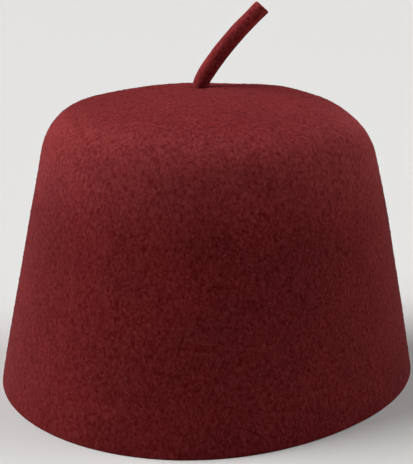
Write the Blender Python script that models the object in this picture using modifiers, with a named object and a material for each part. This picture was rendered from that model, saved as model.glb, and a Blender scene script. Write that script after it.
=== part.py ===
"""A felt fez: a hollow blocked cap with a short curved felt stalk standing up from its crown.

Lengths are metres and +Z is up. The cut rim rests on z = 0. The rim is oval, with its long way,
front to back, along Y and the front at -Y. Angles named turn run from +X towards +Y.
"""
import math

import bpy
from mathutils import Vector

# Cap, measured on the outside of the felt
CAP_HEIGHT = 0.131
RIM_WIDTH = 0.1815
RIM_LENGTH = 0.1995
CROWN_WIDTH = 0.1416
CROWN_RISE = 0.0113
SHOULDER_RADIUS = 0.028
WALL_FULLNESS = 0.0005
FELT_THICKNESS = 0.0022
RIM_ROUNDING = 0.0005

# Rim strays from a true oval by this much, outwards at this turn and at every quarter from it
RIM_SQUARENESS = 0.0009
RIM_SQUARENESS_TURN = 39.0

# Hand-made unevenness of the shoulder and crown: its greatest height and how far it spreads
SWELL_HEIGHT = 0.0024
SWELL_SPREAD = 0.0145

# Shallow pit in the crown where the stalk comes through
PIT_DEPTH = 0.0006
PIT_SPREAD = 0.0025

# Stalk: its length is along its bent middle line, above the crown
STALK_LENGTH = 0.0440
STALK_DIAMETER = 0.0075
STALK_TURN = 45.0
STALK_SET_BACK = 0.0040
STALK_END_ROUNDING = 0.0004
FOOT_DIAMETER = 0.014
FOOT_THICKNESS = 0.0025
FIT_GAP = 0.0003

# How finely the shapes are drawn
TURN_STEPS = 64
WALL_ROWS = 9
SHOULDER_ROWS = 7
DOME_ROWS = 7
DOME_ROW_CROWDING = 1.6
STALK_POINTS = 16
CUT_EDGE_STEPS = 2
SHARP_ANGLE = math.radians(50)
MERGE_DISTANCE = 0.00001

FELT_COLOUR = (0.170, 0.022, 0.021, 1.0)
STALK_COLOUR = (0.130, 0.014, 0.014, 1.0)
FELT_ROUGHNESS = 0.95

# Swells and dents: turn in degrees, way up the profile from rim (0) to crown middle (1),
# height as a share of SWELL_HEIGHT (minus is a dent), spread as a share of SWELL_SPREAD
SWELLS = (
    {"turn": 45.0, "way_up": 0.83, "height": 1.0, "spread": 0.95},
    {"turn": 225.0, "way_up": 0.66, "height": 0.55, "spread": 1.05},
    {"turn": 45.0, "way_up": 0.68, "height": -0.75, "spread": 1.35},
    {"turn": 117.0, "way_up": 0.85, "height": -0.3, "spread": 0.62},
)

# Stalk along its middle line: way from crown (0) to cut end (1), lean from upright in degrees,
# thickness as a share of STALK_DIAMETER
STALK_SHAPE = (
    {"way": 0.00, "lean": 4.0, "thickness": 0.98},
    {"way": 0.12, "lean": 32.0, "thickness": 0.97},
    {"way": 0.35, "lean": 37.0, "thickness": 1.00},
    {"way": 0.60, "lean": 41.5, "thickness": 0.98},
    {"way": 0.85, "lean": 45.0, "thickness": 0.96},
    {"way": 1.00, "lean": 47.0, "thickness": 0.96},
)

HOLE_RADIUS = STALK_DIAMETER * STALK_SHAPE[0]["thickness"] / 2 + FIT_GAP
LEAN_DIRECTION = Vector((math.cos(math.radians(STALK_TURN)), math.sin(math.radians(STALK_TURN)), 0))
STALK_FOOT = LEAN_DIRECTION * -STALK_SET_BACK


def clear_scene():
    """Removes every object, so that the script gives the same result each time."""
    for item in list(bpy.data.objects):
        bpy.data.objects.remove(item)


def new_collection(name):
    """Makes an empty collection in the scene."""
    collection = bpy.data.collections.new(name)
    bpy.context.scene.collection.children.link(collection)
    return collection


def felt_material(name, colour):
    """Makes a dull, rough felt finish in one colour."""
    material = bpy.data.materials.new(name)
    material.use_nodes = True
    shader = material.node_tree.nodes["Principled BSDF"]
    shader.inputs["Base Color"].default_value = colour
    shader.inputs["Roughness"].default_value = FELT_ROUGHNESS
    shader.inputs["Metallic"].default_value = 0.0
    return material


def evaluated_mesh(item):
    """Gives a new mesh of an object with its modifiers or curve bevel worked out."""
    graph = bpy.context.evaluated_depsgraph_get()
    return bpy.data.meshes.new_from_object(item.evaluated_get(graph))


def add_cut_edges(item, width):
    """Rounds an object's sharp cut edges with a Bevel modifier."""
    rounding = item.modifiers.new("cut_edges", "BEVEL")
    rounding.width = width
    rounding.segments = CUT_EDGE_STEPS
    rounding.limit_method = "ANGLE"
    rounding.angle_limit = SHARP_ANGLE


def table_value(table, place_column, value_column, place):
    """Reads a column of a short table at any place, with straight runs between its rows."""
    lower = table[0]
    for upper in table[1:]:
        if place <= upper[place_column]:
            break
        lower = upper
    run = upper[place_column] - lower[place_column]
    share = 1.0 if run == 0 else (place - lower[place_column]) / run
    share = min(max(share, 0.0), 1.0)
    return lower[value_column] + (upper[value_column] - lower[value_column]) * share


def felt_line(depth):
    """Works out half of the cap's outline at a depth in from the felt's outer face.

    The domed crown is an arc through its rise, the wall is a nearly straight slope, and the
    shoulder is an arc that meets both smoothly.

    Args:
        depth: 0 for the outer face, or the felt's thickness for the inner one.

    Returns:
        Points (radius, height) from the stalk's hole over the shoulder to the rim.
    """
    half_crown = CROWN_WIDTH / 2
    dome_radius = (half_crown**2 + CROWN_RISE**2) / (2 * CROWN_RISE)
    dome_centre = Vector((0, CAP_HEIGHT - dome_radius))
    wall_foot = Vector((RIM_WIDTH / 2, 0))
    wall_way = (Vector((half_crown, CAP_HEIGHT - CROWN_RISE)) - wall_foot).normalized()
    inward = Vector((-wall_way.y, wall_way.x))

    # The shoulder's centre lies one shoulder radius inside both the wall and the dome
    first = wall_foot + inward * SHOULDER_RADIUS - dome_centre
    along = first.dot(wall_way)
    reach = dome_radius - SHOULDER_RADIUS
    wall_length = -along + math.sqrt(along**2 - first.length_squared + reach**2)
    shoulder_centre = dome_centre + first + wall_way * wall_length
    wall_top = wall_foot + wall_way * wall_length + inward * depth
    rim_point = wall_foot + Vector((depth / inward.x, 0))

    dome_end = (shoulder_centre - dome_centre).normalized()
    dome_angle = math.atan2(dome_end.y, dome_end.x)
    wall_angle = math.atan2(-inward.y, -inward.x)
    hole_angle = math.acos(HOLE_RADIUS / (dome_radius - depth))

    points = []
    for row in range(DOME_ROWS):
        share = (row / DOME_ROWS) ** DOME_ROW_CROWDING
        angle = hole_angle + (dome_angle - hole_angle) * share
        way = Vector((math.cos(angle), math.sin(angle)))
        points.append(dome_centre + way * (dome_radius - depth))
    for row in range(SHOULDER_ROWS):
        angle = dome_angle + (wall_angle - dome_angle) * row / SHOULDER_ROWS
        way = Vector((math.cos(angle), math.sin(angle)))
        points.append(shoulder_centre + way * (SHOULDER_RADIUS - depth))
    for row in range(WALL_ROWS + 1):
        share = row / WALL_ROWS
        fullness = WALL_FULLNESS * 4 * share * (1 - share)
        points.append(wall_top.lerp(rim_point, share) - inward * fullness)
    return points


def blocked(turned):
    """Moves a point of the round turned form to its place on the oval cap, before its swells."""
    radius = math.hypot(turned.x, turned.y)
    lowness = max(0.0, 1 - turned.z / CAP_HEIGHT)
    stretch = 1 + (RIM_LENGTH / RIM_WIDTH - 1) * lowness
    place = Vector((turned.x, turned.y * stretch, turned.z))
    turn = math.atan2(place.y, place.x)
    outward = Vector((math.cos(turn), math.sin(turn), 0))
    quarter = math.cos(4 * (turn - math.radians(RIM_SQUARENESS_TURN)))
    place += outward * RIM_SQUARENESS * lowness * quarter

    # The crown's middle sits off centre, and dips where the stalk comes through it
    half_crown = CROWN_WIDTH / 2
    middle = min(max((half_crown - radius) / (half_crown - HOLE_RADIUS), 0.0), 1.0)
    place += STALK_FOOT * middle**2
    place.z -= PIT_DEPTH * math.exp(-(((radius - HOLE_RADIUS) / PIT_SPREAD) ** 2)) * middle
    return place


def swell_place(line, swell):
    """Finds where a swell stands on the blocked outer face, and which way it lifts the felt."""
    steps = [(lower - upper).length for upper, lower in zip(line, line[1:])]
    left = sum(steps) * (1 - swell["way_up"])
    for upper, lower, step in zip(line, line[1:], steps):
        if left <= step:
            break
        left -= step
    point = upper.lerp(lower, left / step)
    down = (lower - upper).normalized()
    turn = math.radians(swell["turn"])
    outward = Vector((math.cos(turn), math.sin(turn), 0))
    place = blocked(outward * point.x + Vector((0, 0, point.y)))
    lift = outward * -down.y + Vector((0, 0, down.x))
    return place, lift


def formed(turned, swells):
    """Moves a point of the round turned form to the finished cap: blocked, then swelled."""
    place = blocked(turned)
    lifted = place.copy()
    for swell, (centre, lift) in zip(SWELLS, swells):
        spread = SWELL_SPREAD * swell["spread"]
        fade = math.exp(-((place - centre).length_squared) / (2 * spread**2))
        lifted += lift * SWELL_HEIGHT * swell["height"] * fade
    return lifted


def turned_felt(collection):
    """Draws the felt's closed section at +X and turns it round Z with a Screw modifier."""
    section = felt_line(0) + felt_line(FELT_THICKNESS)[::-1]
    mesh = bpy.data.meshes.new("felt_section")
    edges = [(corner, (corner + 1) % len(section)) for corner in range(len(section))]
    mesh.from_pydata([(point.x, 0, point.y) for point in section], edges, [])
    item = bpy.data.objects.new("felt_section", mesh)
    collection.objects.link(item)
    screw = item.modifiers.new("turn", "SCREW")
    screw.axis = "Z"
    screw.angle = math.tau
    screw.steps = TURN_STEPS
    screw.render_steps = TURN_STEPS
    screw.use_merge_vertices = True
    screw.merge_threshold = MERGE_DISTANCE
    turned = evaluated_mesh(item)
    bpy.data.objects.remove(item)
    return turned


def make_felt_cap(collection, swells):
    """Makes the hollow cap: its felt section is turned, then moved to the oval, uneven form."""
    mesh = turned_felt(collection)
    mesh.name = "felt_cap"
    for vertex in mesh.vertices:
        vertex.co = formed(vertex.co, swells)
    mesh.shade_smooth()
    cap = bpy.data.objects.new("felt_cap", mesh)
    collection.objects.link(cap)
    cap.data.materials.append(felt_material("maroon_felt", FELT_COLOUR))
    add_cut_edges(cap, RIM_ROUNDING)
    return cap


def stalk_line(crown_height):
    """Works out the stalk's middle line and half thickness, from the hidden foot to the cut end.

    Args:
        crown_height: lowest height of the crown's outer face round the stalk's hole.

    Returns:
        (place, half thickness) pairs, upwards.
    """
    root_radius = STALK_DIAMETER * STALK_SHAPE[0]["thickness"] / 2
    foot_top = crown_height - FELT_THICKNESS - FIT_GAP
    rows = [
        (foot_top - FOOT_THICKNESS, FOOT_DIAMETER / 2),
        (foot_top, FOOT_DIAMETER / 2),
        (foot_top + FIT_GAP / 2, root_radius),
        (crown_height, root_radius),
    ]
    line = [(STALK_FOOT + Vector((0, 0, height)), radius) for height, radius in rows]

    place = line[-1][0].copy()
    step = STALK_LENGTH / STALK_POINTS
    for point in range(STALK_POINTS):
        lean = math.radians(table_value(STALK_SHAPE, "way", "lean", (point + 0.5) / STALK_POINTS))
        place = place + LEAN_DIRECTION * step * math.sin(lean) + Vector((0, 0, step * math.cos(lean)))
        thickness = table_value(STALK_SHAPE, "way", "thickness", (point + 1) / STALK_POINTS)
        line.append((place, STALK_DIAMETER * thickness / 2))
    return line


def hole_height(swells):
    """Finds the lowest height of the crown's outer face round the stalk's hole."""
    edge = felt_line(0)[0]
    heights = []
    for step in range(TURN_STEPS):
        turn = math.tau * step / TURN_STEPS
        round_hole = Vector((edge.x * math.cos(turn), edge.x * math.sin(turn), edge.y))
        heights.append(formed(round_hole, swells).z)
    return min(heights)


def make_stalk(collection, swells):
    """Makes the curved stalk, whose root passes the crown and ends in a plain round foot inside."""
    line = stalk_line(hole_height(swells))
    curve = bpy.data.curves.new("stalk_line", "CURVE")
    curve.dimensions = "3D"
    curve.bevel_depth = 1.0
    curve.bevel_resolution = 6
    curve.use_fill_caps = True
    spline = curve.splines.new("POLY")
    spline.points.add(len(line) - 1)
    for point, (place, half_thickness) in zip(spline.points, line):
        point.co = (*place, 1)
        point.radius = half_thickness
    guide = bpy.data.objects.new("stalk_line", curve)
    collection.objects.link(guide)
    mesh = evaluated_mesh(guide)
    bpy.data.objects.remove(guide)

    mesh.name = "stalk"
    mesh.materials.clear()
    stalk = bpy.data.objects.new("stalk", mesh)
    collection.objects.link(stalk)
    stalk.data.materials.append(felt_material("stalk_felt", STALK_COLOUR))
    weld = stalk.modifiers.new("close_ends", "WELD")
    weld.merge_threshold = MERGE_DISTANCE
    add_cut_edges(stalk, STALK_END_ROUNDING)
    return stalk


clear_scene()
fez = new_collection("fez")
swell_places = [swell_place(felt_line(0), swell) for swell in SWELLS]
make_felt_cap(fez, swell_places)
make_stalk(fez, swell_places)
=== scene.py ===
"""A blocked maroon felt fez with a short curved felt stalk, shown in a plain pale studio.

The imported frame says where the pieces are. Lengths are metres unless a name ends in mm, and angles
named turn run from +X towards +Y. The front of the hat is at -Y.
"""

import logging
import math
from collections.abc import Callable
from dataclasses import dataclass, field
from enum import Enum

import bpy
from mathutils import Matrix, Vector, noise


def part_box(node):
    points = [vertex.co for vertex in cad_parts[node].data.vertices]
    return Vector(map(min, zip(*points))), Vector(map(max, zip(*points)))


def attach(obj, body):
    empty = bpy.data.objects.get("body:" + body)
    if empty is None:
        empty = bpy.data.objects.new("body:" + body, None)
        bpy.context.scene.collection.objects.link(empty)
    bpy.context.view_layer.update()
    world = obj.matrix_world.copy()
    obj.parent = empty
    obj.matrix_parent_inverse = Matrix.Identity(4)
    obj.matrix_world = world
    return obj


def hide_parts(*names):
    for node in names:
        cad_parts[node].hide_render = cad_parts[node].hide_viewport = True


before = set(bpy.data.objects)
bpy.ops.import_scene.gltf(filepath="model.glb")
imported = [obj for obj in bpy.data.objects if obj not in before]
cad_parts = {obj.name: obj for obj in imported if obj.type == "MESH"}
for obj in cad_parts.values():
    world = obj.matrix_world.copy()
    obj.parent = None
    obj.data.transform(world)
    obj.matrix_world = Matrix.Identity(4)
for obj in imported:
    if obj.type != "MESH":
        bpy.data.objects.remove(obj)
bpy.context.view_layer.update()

log = logging.getLogger("fez")

PHOTO_WIDTH = 413
PHOTO_HEIGHT = 464
SENSOR_MM = 36.0


class Slot(Enum):
    """The record's material slots."""

    CAP = "cap_felt"
    STALK = "stalk_felt"


def linear(hex_colour: str) -> tuple[float, float, float, float]:
    """Turns an sRGB hex colour into linear light.

    Args:
        hex_colour: six hex digits, such as "8a3030".

    Returns:
        Linear red, green, blue and full alpha.
    """
    channels = [int(hex_colour[i : i + 2], 16) / 255 for i in (0, 2, 4)]
    light = [c / 12.92 if c <= 0.04045 else ((c + 0.055) / 1.055) ** 2.4 for c in channels]
    return (light[0], light[1], light[2], 1.0)


def add_node(
    tree: bpy.types.NodeTree, kind: str, links: dict | None = None, **settings: object
) -> bpy.types.Node:
    """Adds one node with its settings and what feeds it.

    Args:
        tree: the node tree of a material or of a scatter.
        kind: the node's type name.
        links: input name or number, to an output socket or to a plain value.
        settings: the node's own properties.

    Returns:
        The new node.
    """
    node = tree.nodes.new(kind)
    for name, value in settings.items():
        setattr(node, name, value)
    for name, source in (links or {}).items():
        if isinstance(source, bpy.types.NodeSocket):
            tree.links.new(source, node.inputs[name])
        else:
            node.inputs[name].default_value = source
    return node


@dataclass(frozen=True)
class WoolFelt:
    """Wool felt, dyed in the piece, blocked over a form while wet and given a short matted nap by brushing.

    The eye gets a dull surface with no gloss and a close grain of random tone. The same grain drives the
    relief, so it also paints shade: deeper red in the relief's dips as painted shade, and duller and paler
    on its raised locks as a painted sheen. There is a soft bloom where it turns away, slightly uneven dye
    and, where a shoulder band is given, a painted highlight round the shoulder. Felt fibres are 0.02 to
    0.03 mm thick, too fine to show, so the grain is drawn at the 1.45 mm of the locks that they mat into.
    """

    name: str
    colour: str
    fleck_colour: str
    deep_colour: str
    grain_mm: float = 1.45
    fleck_mm: float = 1.1
    clump_mm: float = 4.0
    clump_contrast: float = 0.05
    patch_mm: float = 30.0
    patch_band: tuple[float, float] = (0.35, 0.65)
    clump_band: tuple[float, float] = (0.30, 0.70)
    grain_band: tuple[float, float] = (0.26, 0.74)
    fleck_band: tuple[float, float] = (0.52, 1.7)
    upright_stretch: float = 0.8
    # The grain's contrast and dulling: how far it darkens the relief's dips as painted shade and makes its
    # rises lighter and duller as a painted sheen.
    grain_and_painted_shade_contrast: float = 0.35
    grain_and_painted_sheen_dulling: float = 0.06
    relief_mm: float = 0.19
    relief_strength: float = 0.8
    roughness: float = 0.92
    bloom: float = 0.42
    bloom_roughness: float = 0.45
    bloom_colour: str = "b05656"
    # The shoulder's painted highlight band: its heights in mm, how much it lightens the dye and how much it
    # dulls it.
    painted_highlight_band_mm: tuple[float, float, float, float] | None = None
    painted_highlight_lightening: float = 1.52
    painted_highlight_dulling: float = 0.045

    def build(self) -> bpy.types.Material:
        """Makes the felt's material from its colours and real pattern sizes."""
        material = bpy.data.materials.new(self.name)
        material.use_nodes = True
        tree = material.node_tree
        tree.nodes.clear()
        place = add_node(tree, "ShaderNodeTexCoord").outputs["Object"]
        stretch = (1.0, 1.0, self.upright_stretch)
        stretched = add_node(tree, "ShaderNodeMapping", {"Vector": place, "Scale": stretch}).outputs[0]

        grain = self.cloud(tree, stretched, self.grain_mm, 2.0)
        shift = (3.7, 1.9, 5.3)
        shifted = add_node(tree, "ShaderNodeVectorMath", {0: stretched, 1: shift}, operation="ADD").outputs[0]
        specks = self.cloud(tree, shifted, self.fleck_mm, 0.0)
        clumps = self.cloud(tree, place, self.clump_mm, 2.0)
        patches = self.cloud(tree, place, self.patch_mm, 2.0)

        dyed = self.blend(tree, patches, self.patch_band, linear(self.deep_colour), linear(self.colour))
        # Painted highlight: a lighter, duller band of dye round the shoulder, standing in for light that
        # falls there; from here on dyed carries it.
        if self.painted_highlight_band_mm:
            dyed = self.paint_shoulder_highlight(tree, place, dyed)
        darker = self.lit(tree, dyed, 1 - self.clump_contrast)
        lighter = self.lit(tree, dyed, 1 + self.clump_contrast)
        matted = self.blend(tree, clumps, self.clump_band, darker, lighter)
        # Shaded and raised copies of the felt: random grain tone that also paints shade into the relief's
        # dips and a paler painted sheen onto its rises, as the same grain drives the bump below.
        shaded = self.lit(tree, matted, 1 - self.grain_and_painted_shade_contrast, 1 + self.grain_and_painted_sheen_dulling)
        raised = self.lit(tree, matted, 1 + self.grain_and_painted_shade_contrast, 1 - self.grain_and_painted_sheen_dulling)
        grain_with_painted_shade = self.blend(tree, grain, self.grain_band, shaded, raised)
        flecked = self.blend(tree, specks, self.fleck_band, grain_with_painted_shade, linear(self.fleck_colour))

        height = self.combine(tree, "ADD", grain, specks)
        relief = add_node(
            tree,
            "ShaderNodeBump",
            {"Height": height, "Distance": self.relief_mm / 1000, "Strength": self.relief_strength},
        )
        shader = add_node(
            tree,
            "ShaderNodeBsdfPrincipled",
            {
                "Base Color": flecked,
                "Roughness": self.roughness,
                "Metallic": 0.0,
                "IOR": 1.5,
                "Specular IOR Level": 0.06,
                "Sheen Weight": self.bloom,
                "Sheen Roughness": self.bloom_roughness,
                "Sheen Tint": linear(self.bloom_colour),
                "Normal": relief.outputs[0],
            },
        )
        add_node(tree, "ShaderNodeOutputMaterial", {"Surface": shader.outputs[0]})
        return material

    def paint_shoulder_highlight(
        self, tree: bpy.types.NodeTree, place: bpy.types.NodeSocket, dyed: bpy.types.NodeSocket
    ) -> bpy.types.NodeSocket:
        """Paints a highlight into the dye: a lighter, slightly duller band round the shoulder, standing in
        for the light that falls there.

        Args:
            tree: the material's node tree.
            place: coordinates on the piece, in metres.
            dyed: the felt's colour without the band.

        Returns:
            The colour with the band.
        """
        height = add_node(tree, "ShaderNodeSeparateXYZ", {"Vector": place}).outputs["Z"]
        low, full, fading, high = (edge / 1000 for edge in self.painted_highlight_band_mm)
        rise = add_node(
            tree,
            "ShaderNodeMapRange",
            {"Value": height, "From Min": low, "From Max": full},
            interpolation_type="SMOOTHSTEP",
        )
        fall = add_node(
            tree,
            "ShaderNodeMapRange",
            {"Value": height, "From Min": fading, "From Max": high, "To Min": 1.0, "To Max": 0.0},
            interpolation_type="SMOOTHSTEP",
        )
        band = self.combine(tree, "MULTIPLY", rise.outputs[0], fall.outputs[0])
        # The painted highlight's colour: the dye made lighter and a little duller.
        lighter = self.lit(tree, dyed, self.painted_highlight_lightening, 1 - self.painted_highlight_dulling)
        return self.blend(tree, band, (0.0, 1.0), dyed, lighter)

    @staticmethod
    def combine(
        tree: bpy.types.NodeTree, operation: str, one: bpy.types.NodeSocket, other: bpy.types.NodeSocket
    ) -> bpy.types.NodeSocket:
        """Adds one sum of two patterns, by the operation named."""
        return add_node(tree, "ShaderNodeMath", {0: one, 1: other}, operation=operation).outputs[0]

    @staticmethod
    def cloud(
        tree: bpy.types.NodeTree, place: bpy.types.NodeSocket, size_mm: float, detail: float
    ) -> bpy.types.NodeSocket:
        """Adds soft unevenness whose blotches are about size_mm across.

        Args:
            tree: the material's node tree.
            place: coordinates on the piece, in metres.
            size_mm: how wide a blotch is, in millimetres.
            detail: how many times finer unevenness is laid over it.

        Returns:
            A value that lies mostly between 0.3 and 0.7.
        """
        settings = {
            "Vector": place,
            "Scale": 1000 / size_mm,
            "Detail": detail,
            "Roughness": 0.6,
            "Distortion": 0.6,
        }
        return add_node(tree, "ShaderNodeTexNoise", settings).outputs["Fac"]

    @staticmethod
    def lit(
        tree: bpy.types.NodeTree, colour: bpy.types.NodeSocket, light: float, strength: float = 1.0
    ) -> bpy.types.NodeSocket:
        """Adds a copy of a colour with its light and its redness cut or raised to a share.

        Args:
            tree: the material's node tree.
            colour: the colour to copy.
            light: the share of its light that is kept.
            strength: the share of its strength, below 1 for a duller colour.

        Returns:
            The changed colour.
        """
        settings = {"Color": colour, "Value": light, "Saturation": strength}
        return add_node(tree, "ShaderNodeHueSaturation", settings).outputs["Color"]

    @staticmethod
    def blend(
        tree: bpy.types.NodeTree,
        by: bpy.types.NodeSocket,
        band: tuple[float, float],
        low: object,
        high: object,
    ) -> bpy.types.NodeSocket:
        """Adds a mix from one colour to another as a value crosses a band.

        Args:
            tree: the material's node tree.
            by: the value that drives the mix.
            band: where the mix starts and where it is complete.
            low: the colour below the band.
            high: the colour above it.

        Returns:
            The mixed colour.
        """
        share = add_node(tree, "ShaderNodeMapRange", {"Value": by, "From Min": band[0], "From Max": band[1]})
        mix = add_node(tree, "ShaderNodeMix", data_type="RGBA")
        tree.links.new(share.outputs["Result"], mix.inputs[0])
        for socket, colour in ((mix.inputs[6], low), (mix.inputs[7], high)):
            if isinstance(colour, bpy.types.NodeSocket):
                tree.links.new(colour, socket)
            else:
                socket.default_value = colour
        return mix.outputs[2]


def start_piece(name: str, vertices: int, radius: float, centre: Vector) -> bpy.types.Object:
    """Adds a ring to model from, with nothing else selected, and opens it in edit mode.

    Args:
        name: the piece's name.
        vertices: how many sides the ring has.
        radius: the ring's radius.
        centre: the ring's place.

    Returns:
        The new object, in edit mode with all of it selected.
    """
    bpy.ops.object.select_all(action="DESELECT")
    bpy.ops.mesh.primitive_circle_add(vertices=vertices, radius=radius, location=centre)
    piece = bpy.context.object
    piece.name = name
    piece.data.name = name
    bpy.ops.object.transform_apply(location=True, rotation=True, scale=True)
    bpy.ops.object.mode_set(mode="EDIT")
    bpy.ops.mesh.select_all(action="SELECT")
    return piece


def draw_out_ring(step: Vector, scale: float, centre: Vector) -> None:
    """Extrudes the selected ring along a step, then sizes the new ring about its centre."""
    bpy.ops.mesh.extrude_edges_move(TRANSFORM_OT_translate={"value": step})
    bpy.ops.transform.resize(value=(scale, scale, scale), center_override=centre)


def number_by_place(piece: bpy.types.Object) -> None:
    """Numbers a piece's points and faces by where they are, since extrusion numbers them anew each run."""
    mesh = piece.data
    order = sorted(range(len(mesh.vertices)), key=lambda number: tuple(mesh.vertices[number].co))
    new_number = {old: new for new, old in enumerate(order)}
    points = [tuple(mesh.vertices[old].co) for old in order]
    faces = []
    for polygon in mesh.polygons:
        corners = [new_number[old] for old in polygon.vertices]
        first = corners.index(min(corners))
        faces.append(corners[first:] + corners[:first])
    mesh.clear_geometry()
    mesh.from_pydata(points, [], sorted(faces))
    mesh.update()


def close_piece(piece: bpy.types.Object) -> None:
    """Turns all faces outwards, leaves edit mode, fixes the numbering and shades the piece smooth."""
    bpy.ops.mesh.select_all(action="SELECT")
    bpy.ops.mesh.normals_make_consistent(inside=False)
    bpy.ops.object.mode_set(mode="OBJECT")
    number_by_place(piece)
    bpy.ops.object.shade_smooth()
    log.info("%s: %d faces", piece.name, len(piece.data.polygons))


def apply_modifier(piece: bpy.types.Object, kind: str, **settings: object) -> None:
    """Adds a modifier to a piece and applies it."""
    bpy.context.view_layer.objects.active = piece
    modifier = piece.modifiers.new(kind.lower(), kind)
    for name, value in settings.items():
        setattr(modifier, name, value)
    bpy.ops.object.modifier_apply(modifier=modifier.name)


@dataclass(frozen=True)
class Swell:
    """A place where the hand-blocked felt stands proud of a true form, or is dented."""

    turn_deg: float
    way_up: float
    height: float
    spread: float


@dataclass
class FeltCap:
    """The hollow cap: crown, shoulder and wall blocked from one piece of felt, cut at the rim."""

    height: float = 0.131
    rim_width: float = 0.1815
    rim_length: float = 0.1995
    crown_width: float = 0.1416
    crown_rise: float = 0.0113
    shoulder_radius: float = 0.028
    wall_fullness: float = 0.0005
    felt: float = 0.0022
    rim_rounding: float = 0.0005
    rim_squareness: float = 0.0009
    rim_squareness_turn: float = math.radians(39)
    hole_radius: float = 0.003975
    hole_offset: float = 0.0040
    lean_turn: float = math.radians(45)
    pit_depth: float = 0.0006
    pit_spread: float = 0.0025
    pucker_depth: float = 0.00022
    pucker_reach: float = 0.005
    pucker_count: int = 9
    unevenness: float = 0.00022
    unevenness_size: float = 0.030
    unevenness_from: float = 0.010
    shoulder_share: float = 0.6
    sides: int = 192
    dome_rows: int = 14
    dome_crowding: float = 1.7
    shoulder_rows: int = 12
    wall_rows: int = 26
    swells: tuple[Swell, ...] = (
        Swell(45, 0.83, 0.0024, 0.0138),
        Swell(225, 0.66, 0.0013, 0.0152),
        Swell(45, 0.68, -0.0018, 0.0196),
        Swell(117, 0.85, -0.0007, 0.0090),
    )
    piece: bpy.types.Object | None = field(default=None, init=False)

    def line(self, depth: float) -> list[Vector]:
        """Works out half of the cap's outline at a depth in from the outer face.

        Args:
            depth: 0 for the outer face, or the felt's thickness for the inner one.

        Returns:
            Points (radius, height) from the stalk's hole over the shoulder to the rim.
        """
        half_crown = self.crown_width / 2
        dome = (half_crown**2 + self.crown_rise**2) / (2 * self.crown_rise)
        dome_centre = Vector((0, self.height - dome))
        foot = Vector((self.rim_width / 2, 0))
        up = (Vector((half_crown, self.height - self.crown_rise)) - foot).normalized()
        inward = Vector((-up.y, up.x))

        first = foot + inward * self.shoulder_radius - dome_centre
        along = first.dot(up)
        reach = dome - self.shoulder_radius
        wall = -along + math.sqrt(along**2 - first.length_squared + reach**2)
        shoulder_centre = dome_centre + first + up * wall
        wall_top = foot + up * wall + inward * depth
        rim = foot + Vector((depth / inward.x, 0))

        dome_way = (shoulder_centre - dome_centre).normalized()
        dome_angle = math.atan2(dome_way.y, dome_way.x)
        wall_angle = math.atan2(-inward.y, -inward.x)
        hole_angle = math.acos(self.hole_radius / (dome - depth))

        points = []
        for row in range(self.dome_rows):
            angle = hole_angle + (dome_angle - hole_angle) * (row / self.dome_rows) ** self.dome_crowding
            points.append(dome_centre + Vector((math.cos(angle), math.sin(angle))) * (dome - depth))
        for row in range(self.shoulder_rows):
            angle = dome_angle + (wall_angle - dome_angle) * row / self.shoulder_rows
            way = Vector((math.cos(angle), math.sin(angle)))
            points.append(shoulder_centre + way * (self.shoulder_radius - depth))
        for row in range(self.wall_rows + 1):
            share = row / self.wall_rows
            fullness = self.wall_fullness * 4 * share * (1 - share)
            points.append(wall_top.lerp(rim, share) - inward * fullness)
        return points

    def section(self) -> list[Vector]:
        """Joins the outer and inner lines by the rim's rounded cut edge and the hole's edge."""
        outer = self.line(0)
        inner = self.line(self.felt)
        rim = self.rounded(outer[-2], outer[-1], inner[-1]) + self.rounded(outer[-1], inner[-1], inner[-2])
        hole = self.rounded(inner[1], inner[0], outer[0]) + self.rounded(inner[0], outer[0], outer[1])
        return outer[1:-1] + rim + inner[1:-1][::-1] + hole

    def rounded(self, before: Vector, corner: Vector, after: Vector) -> list[Vector]:
        """Rounds a cut corner with three points, within the cut edge's rounding."""
        start = corner + (before - corner).normalized() * self.rim_rounding
        end = corner + (after - corner).normalized() * self.rim_rounding
        middle = corner * 0.5 + (start + end) * 0.25
        return [start, middle, end]

    def block(self, turned: Vector) -> Vector:
        """Moves a point of the round turned form to the oval cap with its off-centre crown."""
        radius = math.hypot(turned.x, turned.y)
        lowness = max(0.0, 1 - turned.z / self.height)
        stretch = 1 + (self.rim_length / self.rim_width - 1) * lowness
        place = Vector((turned.x, turned.y * stretch, turned.z))
        turn = math.atan2(place.y, place.x)
        outward = Vector((math.cos(turn), math.sin(turn), 0))
        quarter = math.cos(4 * (turn - self.rim_squareness_turn))
        place += outward * self.rim_squareness * lowness * quarter

        half_crown = self.crown_width / 2
        middle = min(max((half_crown - radius) / (half_crown - self.hole_radius), 0.0), 1.0)
        lean = Vector((math.cos(self.lean_turn), math.sin(self.lean_turn), 0))
        place -= lean * self.hole_offset * middle**2
        from_hole = radius - self.hole_radius
        place.z -= self.pit_depth * math.exp(-((from_hole / self.pit_spread) ** 2)) * middle
        pucker = math.cos(self.pucker_count * math.atan2(turned.y, turned.x))
        place.z += self.pucker_depth * pucker * math.exp(-abs(from_hole) / self.pucker_reach) * middle
        return place

    def swell_place(self, swell: Swell) -> tuple[Vector, Vector]:
        """Finds where a swell stands on the blocked outer face, and which way it lifts the felt."""
        line = self.line(0)
        steps = [(b - a).length for a, b in zip(line, line[1:])]
        left = sum(steps) * (1 - swell.way_up)
        for upper, lower, step in zip(line, line[1:], steps):
            if left <= step:
                break
            left -= step
        point = upper.lerp(lower, left / step)
        down = (lower - upper).normalized()
        turn = math.radians(swell.turn_deg)
        outward = Vector((math.cos(turn), math.sin(turn), 0))
        centre = self.block(outward * point.x + Vector((0, 0, point.y)))
        lift = outward * -down.y + Vector((0, 0, down.x))
        return centre, lift

    def form(self) -> Callable[[Vector], Vector]:
        """Gives the function that moves a point of the turned form to the finished cap."""
        places = [(swell, *self.swell_place(swell)) for swell in self.swells]

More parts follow.
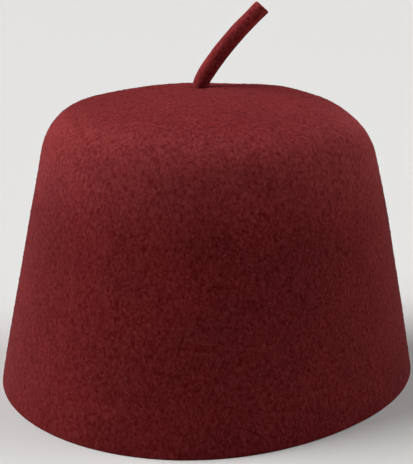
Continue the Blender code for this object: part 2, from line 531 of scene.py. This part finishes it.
        def formed(turned: Vector) -> Vector:
            """Blocks one point, then adds the swells and the felt's slight unevenness."""
            place = self.block(turned)
            lifted = place.copy()
            for swell, centre, lift in places:
                fade = math.exp(-((place - centre).length_squared) / (2 * swell.spread**2))
                lifted += lift * swell.height * fade
            above_wall = max(place.z - self.height * self.shoulder_share, 0.0)
            outward = Vector((place.x, place.y, above_wall)).normalized()
            steady = min(place.z / self.unevenness_from, 1.0)
            wave = noise.noise(place / self.unevenness_size)
            return lifted + outward * self.unevenness * wave * steady

        return formed

    def build(self) -> bpy.types.Object:
        """Turns the felt's section ring by ring, blocks it and smooths it."""
        section = self.section()
        centre = Vector((0, 0, section[0].y))
        self.piece = start_piece("felt_cap_dressed", self.sides, section[0].x, centre)
        for before, after in zip(section, section[1:]):
            step = Vector((0, 0, after.y - before.y))
            draw_out_ring(step, after.x / before.x, Vector((0, 0, after.y)))
        bpy.ops.mesh.select_all(action="DESELECT")
        bpy.ops.mesh.select_non_manifold()
        bpy.ops.mesh.bridge_edge_loops()
        close_piece(self.piece)
        formed = self.form()
        for vertex in self.piece.data.vertices:
            vertex.co = formed(vertex.co)
        apply_modifier(self.piece, "SUBSURF", levels=1, render_levels=1)
        bpy.ops.object.shade_smooth()
        return self.piece

    def dress(self, felt: WoolFelt) -> None:
        """Gives the cap its felt, hangs it on the root body and hides the node it stands for."""
        self.piece.data.materials.append(felt.build())
        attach(self.piece, "root")
        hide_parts("felt_cap")


@dataclass
class LooseLocks:
    """Short curled locks of wool that stand a little proud of the felt and catch the light.

    A real lock is a few matted fibres, under 0.1 mm thick, so it is drawn 0.18 mm thick to show.
    """

    lock_length: float = 0.0014
    lock_thickness: float = 0.00018
    lock_arch: float = 0.00009
    lock_segments: int = 3
    thinning: float = 0.75
    sway: float = 0.16
    sway_turn: float = 2.2
    smallest: float = 0.55
    largest: float = 1.35
    locks_per_square_metre: float = 118000.0
    seed: int = 7
    lean_deg: float = 8.0
    sink: float = 0.00004
    rim_clear: float = 0.003
    outer_face_least: float = 0.02
    middle: Vector = field(default_factory=lambda: Vector((0, 0, 0.055)))
    piece: bpy.types.Object | None = field(default=None, init=False)

    def one_lock(self) -> bpy.types.Object:
        """Models one curled lock, three-sided and thinning to both ends, along +X with +Z up."""
        bpy.ops.object.select_all(action="DESELECT")
        half = self.lock_thickness / 2
        bpy.ops.mesh.primitive_cylinder_add(vertices=3, radius=half, depth=self.lock_length)
        lock = bpy.context.object
        lock.name = "one_wool_lock"
        bpy.ops.object.mode_set(mode="EDIT")
        bpy.ops.mesh.select_all(action="SELECT")
        bpy.ops.transform.rotate(value=math.radians(-90), orient_axis="Y", center_override=(0, 0, 0))
        step = self.lock_length / self.lock_segments
        for cut in range(1, self.lock_segments):
            bpy.ops.mesh.select_all(action="SELECT")
            place = (-self.lock_length / 2 + cut * step, 0, 0)
            bpy.ops.mesh.bisect(plane_co=place, plane_no=(1, 0, 0))
        bpy.ops.object.mode_set(mode="OBJECT")
        for vertex in lock.data.vertices:
            way = vertex.co.x / (self.lock_length / 2)
            taper = 1.0 - self.thinning * way**2
            bow = self.lock_arch * (1 - way**2)
            sway = self.lock_length * self.sway * math.sin(way * self.sway_turn)
            place = vertex.co.copy()
            vertex.co = Vector((place.x, place.y * taper + sway, place.z * taper + bow - self.sink))
        return lock

    def build(self, cap: bpy.types.Object) -> bpy.types.Object:
        """Scatters copies of the lock over the cap's outer face and joins them in one piece.

        Args:
            cap: the finished cap, whose outer face carries the locks.

        Returns:
            The piece that holds all of the locks.
        """
        lock = self.one_lock()
        bpy.ops.object.select_all(action="DESELECT")
        cap.select_set(True)
        bpy.context.view_layer.objects.active = cap
        bpy.ops.object.duplicate()
        self.piece = bpy.context.object
        self.piece.name = "loose_wool_locks"
        self.piece.data.name = "loose_wool_locks"
        modifier = self.piece.modifiers.new("scatter", "NODES")
        modifier.node_group = self.scatter_nodes(lock)
        bpy.ops.object.modifier_apply(modifier=modifier.name)
        bpy.data.objects.remove(lock)
        log.info("%s: %d faces", self.piece.name, len(self.piece.data.polygons))
        return self.piece

    def scatter_nodes(self, lock: bpy.types.Object) -> bpy.types.GeometryNodeTree:
        """Makes the nodes that scatter the lock over the faces that look away from the cap's middle.

        Args:
            lock: the one lock to copy.

        Returns:
            The node group, with every copy made a real mesh.
        """
        group = bpy.data.node_groups.new("scatter_locks", "GeometryNodeTree")
        group.interface.new_socket("Geometry", in_out="INPUT", socket_type="NodeSocketGeometry")
        group.interface.new_socket("Geometry", in_out="OUTPUT", socket_type="NodeSocketGeometry")
        felt = add_node(group, "NodeGroupInput").outputs["Geometry"]

        place = add_node(group, "GeometryNodeInputPosition").outputs[0]
        normal = add_node(group, "GeometryNodeInputNormal").outputs["Normal"]
        out = add_node(group, "ShaderNodeVectorMath", {0: place, 1: self.middle}, operation="SUBTRACT")
        both_ways = {0: out.outputs[0], 1: normal}
        facing = add_node(group, "ShaderNodeVectorMath", both_ways, operation="DOT_PRODUCT")
        reach = {0: facing.outputs["Value"], 1: self.outer_face_least}
        outer = add_node(group, "ShaderNodeMath", reach, operation="GREATER_THAN")
        height = add_node(group, "ShaderNodeSeparateXYZ", {"Vector": place}).outputs["Z"]
        raised = add_node(group, "ShaderNodeMath", {0: height, 1: self.rim_clear}, operation="GREATER_THAN")
        both = {0: outer.outputs[0], 1: raised.outputs[0]}
        chosen = add_node(group, "ShaderNodeMath", both, operation="MULTIPLY")
        points = add_node(
            group,
            "GeometryNodeDistributePointsOnFaces",
            {
                "Mesh": felt,
                "Selection": chosen.outputs[0],
                "Density": self.locks_per_square_metre,
                "Seed": self.seed,
            },
        )
        lean = math.radians(self.lean_deg)
        turn = add_node(
            group,
            "FunctionNodeRandomValue",
            {"Min": (-lean, -lean, 0.0), "Max": (lean, lean, math.tau), "Seed": self.seed + 1},
            data_type="FLOAT_VECTOR",
        )
        spin = add_node(
            group,
            "FunctionNodeRotateRotation",
            {"Rotation": points.outputs["Rotation"], "Rotate By": turn.outputs[0]},
            rotation_space="LOCAL",
        )
        size = add_node(
            group,
            "FunctionNodeRandomValue",
            {2: self.smallest, 3: self.largest, "Seed": self.seed + 2},
            data_type="FLOAT",
        )
        shape = add_node(group, "GeometryNodeObjectInfo", {"Object": lock}).outputs["Geometry"]
        copies = add_node(
            group,
            "GeometryNodeInstanceOnPoints",
            {
                "Points": points.outputs["Points"],
                "Instance": shape,
                "Rotation": spin.outputs[0],
                "Scale": size.outputs[1],
            },
        )
        real = add_node(group, "GeometryNodeRealizeInstances", {"Geometry": copies.outputs[0]})
        add_node(group, "NodeGroupOutput", {"Geometry": real.outputs[0]})
        return group

    def dress(self, felt: WoolFelt) -> None:
        """Gives the locks their wool and hangs them on the root body."""
        self.piece.data.materials.clear()
        self.piece.data.materials.append(felt.build())
        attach(self.piece, "root")


@dataclass(frozen=True)
class StalkStation:
    """One place along the stalk: how far up, how it leans there and how thick it is."""

    way: float
    lean_deg: float
    thickness: float


@dataclass
class FeltStalk:
    """The rolled felt stalk, curved over to one side, with a square cut end and a hidden foot."""

    length: float = 0.0440
    diameter: float = 0.0075
    lean_turn: float = math.radians(45)
    offset: float = 0.0040
    foot_diameter: float = 0.014
    foot_thickness: float = 0.0025
    root_height: float = 0.0026
    end_rounding: float = 0.0003
    end_hollow: float = 0.0003
    end_slant: float = math.radians(3.5)
    lumpiness: float = 0.00022
    lump_size: float = 0.006
    lump_seed: int = 7
    crown_height: float = 0.131
    lumps_fade: float = 0.004
    sides: int = 40
    rings: int = 44
    stations: tuple[StalkStation, ...] = (
        StalkStation(0.00, 4.0, 0.98),
        StalkStation(0.12, 32.0, 0.97),
        StalkStation(0.35, 37.0, 1.00),
        StalkStation(0.60, 41.5, 0.98),
        StalkStation(0.85, 45.0, 0.96),
        StalkStation(1.00, 47.0, 0.96),
    )
    piece: bpy.types.Object | None = field(default=None, init=False)

    def station(self, way: float) -> tuple[float, float]:
        """Reads the lean in radians and the half thickness at a way along the stalk."""
        for lower, upper in zip(self.stations, self.stations[1:]):
            if way <= upper.way:
                break
        share = (way - lower.way) / (upper.way - lower.way)
        lean = lower.lean_deg + (upper.lean_deg - lower.lean_deg) * share
        thickness = lower.thickness + (upper.thickness - lower.thickness) * share
        return math.radians(lean), self.diameter * thickness / 2

    def build(self) -> bpy.types.Object:
        """Draws the stalk out ring by ring from its foot to its cut end, leaning to +X, then turns it."""
        foot_low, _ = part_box("stalk")
        place = Vector((-self.offset, 0, foot_low[2]))
        foot_half = self.foot_diameter / 2
        root_half = self.station(0)[1]

        self.piece = start_piece("stalk_dressed", self.sides, foot_half, place)
        bpy.ops.mesh.edge_face_add()
        root_steps = ((self.foot_thickness, 1.0), (0.0, root_half / foot_half), (self.root_height, 1.0))
        for height, scale in root_steps:
            place = place + Vector((0, 0, height))
            draw_out_ring(Vector((0, 0, height)), scale, place)

        lean_before = 0.0
        half_before = root_half
        step = self.length / self.rings
        for ring in range(1, self.rings + 1):
            lean, _ = self.station((ring - 0.5) / self.rings)
            _, half = self.station(ring / self.rings)
            move = Vector((step * math.sin(lean), 0, step * math.cos(lean)))
            place = place + move
            draw_out_ring(move, half / half_before, place)
            self.turn(lean - lean_before, "Y", place)
            lean_before = lean
            half_before = half
        self.turn(-self.end_slant, "Y", place)
        way = Vector((math.sin(lean), 0, math.cos(lean)))
        draw_out_ring(way * self.end_rounding, 1.0, place + way * self.end_rounding)
        self.finish_end()
        bpy.ops.mesh.select_all(action="SELECT")
        self.turn(self.lean_turn, "Z", Vector((0, 0, 0)))
        close_piece(self.piece)
        self.roll_unevenly()
        apply_modifier(self.piece, "SUBSURF", levels=1, render_levels=1)
        bpy.ops.object.shade_smooth()
        return self.piece

    @staticmethod
    def turn(angle: float, axis: str, centre: Vector) -> None:
        """Turns what is selected about an axis through a point.

        Args:
            angle: how far to turn, in radians. The operator turns backwards without a window.
            axis: "X", "Y" or "Z".
            centre: a point on the axis.
        """
        bpy.ops.transform.rotate(
            value=-angle, orient_axis=axis, orient_type="GLOBAL", center_override=centre
        )

    def finish_end(self) -> None:
        """Fills the cut end, rounds its edge and lets its middle sink a little."""
        bpy.ops.mesh.edge_face_add()
        bpy.ops.mesh.inset(thickness=self.end_rounding, depth=0.0)
        bpy.ops.mesh.inset(thickness=self.end_rounding * 3, depth=-self.end_hollow)
        bpy.ops.mesh.inset(thickness=self.end_rounding * 4, depth=self.end_hollow * 0.5)
        bpy.ops.mesh.poke()

    def roll_unevenly(self) -> None:
        """Moves the stalk's points a little, as felt rolled by hand is never quite round."""
        noise.seed_set(self.lump_seed)
        for vertex in self.piece.data.vertices:
            push = noise.noise_vector(vertex.co / self.lump_size)
            share = min(max((vertex.co.z - self.crown_height) / self.lumps_fade, 0.0), 1.0)
            vertex.co += push * self.lumpiness * share

    def dress(self, felt: WoolFelt) -> None:
        """Gives the stalk its felt, hangs it on the root body and hides the node it stands for."""
        self.piece.data.materials.append(felt.build())
        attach(self.piece, "root")
        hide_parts("stalk")


@dataclass(frozen=True)
class FarSoftLight:
    """A wide, far studio light, placed by its turn from the camera towards the camera's left."""

    name: str
    left_deg: float
    up_deg: float
    strength: float
    spread_deg: float = 35.0
    colour: str = "ffffff"

    def build(self, camera_turn: float) -> bpy.types.Object:
        """Adds the light, facing the hat.

        Args:
            camera_turn: the camera's turn round the hat from -Y towards +X, in radians.

        Returns:
            The light's object.
        """
        turn = camera_turn - math.radians(self.left_deg)
        up = math.radians(self.up_deg)
        way = Vector((math.sin(turn) * math.cos(up), -math.cos(turn) * math.cos(up), math.sin(up)))
        data = bpy.data.lights.new(self.name, "SUN")
        data.angle = math.radians(self.spread_deg)
        data.energy = self.strength
        data.color = linear(self.colour)[:3]
        lamp = bpy.data.objects.new(self.name, data)
        lamp.location = way * 2.0
        lamp.rotation_euler = (-way).to_track_quat("-Z", "Y").to_euler()
        bpy.context.scene.collection.objects.link(lamp)
        return lamp


@dataclass
class Studio:
    """A wide pale paper floor, a far pale backdrop all round, soft lights and the camera."""

    camera_turn: float = math.radians(45)
    camera_distance: float = 0.4283
    camera_height: float = 0.18507
    aim_height: float = 0.06392
    aim_right: float = -0.001436
    focal_px: float = 965.57
    paper_colour: str = "c4c3c2"
    backdrop_colour: str = "e6e5e3"
    paper_half_width: float = 6.0
    lights: tuple[FarSoftLight, ...] = (
        FarSoftLight("left_high", 103, 55, 3.2),
        FarSoftLight("left_low", 80, 30, 0.95),
        FarSoftLight("right_high", -110, 55, 1.5),
        FarSoftLight("right_low", -90, 20, 0.45),
    )

    def build(self) -> None:
        """Adds the floor, the backdrop, the lights and the camera."""
        self.add_floor()
        self.add_backdrop()
        for light in self.lights:
            light.build(self.camera_turn)
        self.add_camera()

    def add_floor(self) -> None:
        """Lays a wide sheet of pale matt paper under the hat."""
        bpy.ops.object.select_all(action="DESELECT")
        bpy.ops.mesh.primitive_plane_add(size=self.paper_half_width * 2, location=(0, 0, 0))
        floor = bpy.context.object
        floor.name = "paper_floor"
        material = bpy.data.materials.new("matt_background_paper")
        material.use_nodes = True
        shader = material.node_tree.nodes["Principled BSDF"]
        shader.inputs["Base Color"].default_value = linear(self.paper_colour)
        shader.inputs["Roughness"].default_value = 0.9
        shader.inputs["Specular IOR Level"].default_value = 0.1
        floor.data.materials.append(material)

    def add_backdrop(self) -> None:
        """Sets a far pale dome behind everything, which is only looked at and casts no light or shade."""
        bpy.ops.object.select_all(action="DESELECT")
        bpy.ops.mesh.primitive_uv_sphere_add(segments=64, ring_count=32, radius=self.paper_half_width)
        dome = bpy.context.object
        dome.name = "pale_backdrop"
        material = bpy.data.materials.new("pale_backdrop")
        material.use_nodes = True
        tree = material.node_tree
        tree.nodes.clear()
        glow = add_node(tree, "ShaderNodeEmission", {"Color": linear(self.backdrop_colour), "Strength": 1.0})
        add_node(tree, "ShaderNodeOutputMaterial", {"Surface": glow.outputs[0]})
        dome.data.materials.append(material)
        dome.visible_diffuse = False
        dome.visible_glossy = False
        dome.visible_transmission = False
        dome.visible_shadow = False
        bpy.context.scene.world = bpy.data.worlds.new("unlit_room")
        bpy.context.scene.world.color = (0.0, 0.0, 0.0)

    def add_camera(self) -> None:
        """Places the camera close in front of the hat's right front quarter, looking a little down."""
        turn = self.camera_turn
        right = Vector((math.cos(turn), math.sin(turn), 0))
        back = Vector((math.sin(turn), -math.cos(turn), 0))
        place = back * self.camera_distance + Vector((0, 0, self.camera_height))
        target = right * self.aim_right + Vector((0, 0, self.aim_height))
        data = bpy.data.cameras.new("camera")
        data.sensor_width = SENSOR_MM
        data.lens = self.focal_px * SENSOR_MM / max(PHOTO_WIDTH, PHOTO_HEIGHT)
        data.clip_start = 0.01
        camera = bpy.data.objects.new("camera", data)
        camera.location = place
        camera.rotation_euler = (target - place).to_track_quat("-Z", "Y").to_euler()
        bpy.context.scene.collection.objects.link(camera)
        bpy.context.scene.camera = camera


def main() -> None:
    """Builds and dresses the cap and the stalk, then sets the studio round them."""
    logging.basicConfig(level=logging.INFO, format="%(name)s: %(message)s")
    bpy.context.scene.view_settings.view_transform = "Standard"
    bpy.context.scene.view_settings.look = "None"

    # Heights in mm of the painted highlight band round the shoulder, used on the cap's felt and on its loose
    # locks.
    shoulder_highlight_band_mm = (76, 106, 116, 126)
    cap_felt = WoolFelt(
        "blocked_wool_felt",
        colour="641215",
        fleck_colour="883639",
        deep_colour="5c1013",
        painted_highlight_band_mm=shoulder_highlight_band_mm,
    )
    stalk_felt = WoolFelt(
        "rolled_wool_felt",
        colour="8a2a2c",
        fleck_colour="a0484a",
        deep_colour="782022",
        grain_mm=1.0,
        # A stronger grain, with more painted shade in its dips and more painted sheen on its rises.
        grain_and_painted_shade_contrast=0.40,
        bloom=0.05,
    )
    lock_wool = WoolFelt(
        "loose_wool",
        colour="7a2a2c",
        fleck_colour="94484a",
        deep_colour="6c2224",
        painted_highlight_band_mm=shoulder_highlight_band_mm,
    )
    cap = FeltCap()
    locks = LooseLocks()
    stalk = FeltStalk()
    cap.build()
    locks.build(cap.piece)
    cap.dress(cap_felt)
    locks.dress(lock_wool)
    stalk.build()
    stalk.dress(stalk_felt)
    Studio().build()


if __name__ == "__main__":
    main()
